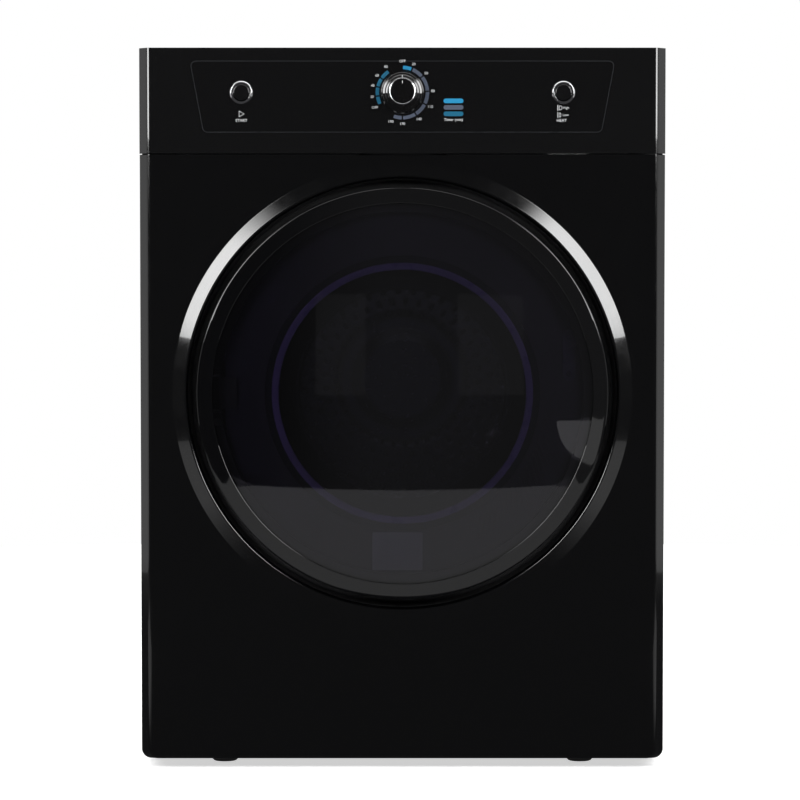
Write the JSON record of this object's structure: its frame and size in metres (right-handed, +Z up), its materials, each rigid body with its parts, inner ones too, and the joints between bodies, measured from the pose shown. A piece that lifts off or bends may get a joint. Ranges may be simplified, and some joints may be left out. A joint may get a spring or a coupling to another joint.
{
  "type": "tumble dryer",
  "caption": "Front-loading vented tumble dryer with a round smoked dome door in a pressed ring, a rotary timer and push buttons on a top console, belt-driven drum and screw feet.",
  "frame": {"origin": "on the floor, at the middle of the machine's width and depth", "axes": "+Z up; the door faces -Y; +X is to the right of a person standing in front of the door"},
  "size_m": [0.595, 0.552, 0.817],
  "materials": {
    "front_enamel": "high-gloss black enamel",
    "side_enamel": "gloss black enamel",
    "top_enamel": "gloss black enamel",
    "zinc_steel": "zinc-plated sheet",
    "console_plastic": "high-gloss black",
    "fascia_plastic": "high-gloss black",
    "knob_plastic": "high-gloss black with a bright ring",
    "dark_plastic": "fine moulded grain",
    "liner_plastic": "fine moulded grain",
    "violet_plastic": "satin, violet tint",
    "grey_plastic": "moulded",
    "lifter_plastic": "smooth moulded",
    "smoked_window": "smoked, polished",
    "bowl_glass": "clear, polished",
    "chrome": "polished",
    "felt": "pressed wool felt",
    "rubber": "matt black",
    "foot_rubber": "matt black",
    "drum_steel": "stainless, satin",
    "motor_paint": "grey paint",
    "bronze": "sintered bronze",
    "mica": "pressed mica"
  },
  "bodies": {
    "cabinet": {"base_pan": "zinc_steel", "left_side_panel": "side_enamel", "right_side_panel": "side_enamel", "rear_panel": "zinc_steel", "front_panel": "front_enamel", "top_panel": "top_enamel", "console": "console_plastic", "console_fascia": "fascia_plastic", "front_bulkhead": "zinc_steel", "filter_duct": "dark_plastic", "fan_housing": "grey_plastic", "exhaust_duct": "zinc_steel", "vent_collar": "dark_plastic", "rear_duct_cover": "zinc_steel", "heater_element": "mica", "drum_bearing": "bronze", "bearing_bracket": "zinc_steel", "front_drum_seal": "felt", "rear_drum_seal": "felt", "motor_body": "motor_paint", "motor_bracket": "zinc_steel", "drive_belt": "rubber", "timer_unit": "grey_plastic", "start_switch": "dark_plastic", "heat_switch": "dark_plastic", "start_bezel": "chrome", "heat_bezel": "chrome", "cable_gland": "rubber", "door_hinge_bracket": "zinc_steel", "door_catch": "dark_plastic", "left_roller_axle": "zinc_steel", "right_roller_axle": "zinc_steel"},
    "door": {"door_cover": "smoked_window", "door_frame": "dark_plastic", "door_liner": "liner_plastic", "door_bowl": "bowl_glass", "bowl_retainer": "violet_plastic", "door_seal": "rubber", "hinge_leaf": "zinc_steel", "latch_hook": "zinc_steel"},
    "drum": {"drum_shell": "drum_steel", "drum_rear_wall": "drum_steel", "drum_shaft": "zinc_steel", "drum_lifter_1": "lifter_plastic", "drum_lifter_2": "lifter_plastic", "drum_lifter_3": "lifter_plastic"},
    "rotor": {"motor_shaft": "drum_steel", "fan_impeller": "dark_plastic"},
    "idler_lever": {"idler_arm": "zinc_steel"},
    "idler_wheel": {"idler_pulley": "dark_plastic"},
    "roller_left": {"left_roller": "rubber"},
    "roller_right": {"right_roller": "rubber"},
    "timer_dial": {"timer_knob": "knob_plastic"},
    "start_key": {"start_button": "fascia_plastic"},
    "heat_key": {"heat_button": "fascia_plastic"},
    "screw_foot_front_left": {"foot_front_left": "foot_rubber"},
    "screw_foot_front_right": {"foot_front_right": "foot_rubber"},
    "screw_foot_rear_left": {"foot_rear_left": "foot_rubber"},
    "screw_foot_rear_right": {"foot_rear_right": "foot_rubber"},
    "filter_cassette": {"lint_filter": "grey_plastic"}
  },
  "joints": [
    {"name": "door_hinge", "type": "hinge", "parent": "cabinet", "child": "door", "pos_m": [-0.218, -0.245, 0.427], "axis": [0, 0, -1], "range_deg": [0, 100]},
    {"name": "drum_spin", "type": "hinge", "parent": "cabinet", "child": "drum", "pos_m": [0, 0, 0.427], "axis": [0, 1, 0], "continuous": true},
    {"name": "rotor_spin", "type": "hinge", "parent": "cabinet", "child": "rotor", "pos_m": [0.18, 0, 0.088], "axis": [0, 1, 0], "continuous": true},
    {"name": "idler_swing", "type": "hinge", "parent": "cabinet", "child": "idler_lever", "pos_m": [0.15, 0.0565, 0.03], "axis": [0, -1, 0], "range_deg": [0, 18], "stiffness_Nm_per_rad": 1, "springref_deg": -20.05},
    {"name": "idler_spin", "type": "hinge", "parent": "idler_lever", "child": "idler_wheel", "pos_m": [0.116, 0.073, 0.092], "axis": [0, 1, 0], "continuous": true},
    {"name": "left_roller_spin", "type": "hinge", "parent": "cabinet", "child": "roller_left", "pos_m": [-0.19014, -0.12, 0.2004], "axis": [0, 1, 0], "continuous": true},
    {"name": "right_roller_spin", "type": "hinge", "parent": "cabinet", "child": "roller_right", "pos_m": [0.19014, -0.12, 0.2004], "axis": [0, 1, 0], "continuous": true},
    {"name": "timer_turn", "type": "hinge", "parent": "cabinet", "child": "timer_dial", "pos_m": [0, -0.2433, 0.7665], "axis": [0, 1, 0], "range_deg": [0, 330]},
    {"name": "start_press", "type": "slide", "parent": "cabinet", "child": "start_key", "axis": [0, 1, 0], "range_m": [0, 0.003], "stiffness_N_per_m": 300, "springref_m": -0.002},
    {"name": "heat_press", "type": "slide", "parent": "cabinet", "child": "heat_key", "axis": [0, 1, 0], "range_m": [0, 0.003], "stiffness_N_per_m": 300, "springref_m": -0.002},
    {"name": "filter_lift", "type": "slide", "parent": "cabinet", "child": "filter_cassette", "axis": [0, 0, 1], "range_m": [0, 0.115]},
    {"name": "front_left_foot_screw", "type": "slide", "parent": "cabinet", "child": "screw_foot_front_left", "axis": [0, 0, -1], "range_m": [0, 0.012]},
    {"name": "front_right_foot_screw", "type": "slide", "parent": "cabinet", "child": "screw_foot_front_right", "axis": [0, 0, -1], "range_m": [0, 0.012]},
    {"name": "rear_left_foot_screw", "type": "slide", "parent": "cabinet", "child": "screw_foot_rear_left", "axis": [0, 0, -1], "range_m": [0, 0.012]},
    {"name": "rear_right_foot_screw", "type": "slide", "parent": "cabinet", "child": "screw_foot_rear_right", "axis": [0, 0, -1], "range_m": [0, 0.012]}
  ],
  "couplings": [
    {"joint": "rotor_spin", "follows": "drum_spin", "ratio": 26.36},
    {"joint": "idler_spin", "follows": "drum_spin", "ratio": -15.82},
    {"joint": "left_roller_spin", "follows": "drum_spin", "ratio": -13.75},
    {"joint": "right_roller_spin", "follows": "drum_spin", "ratio": -13.75}
  ]
}
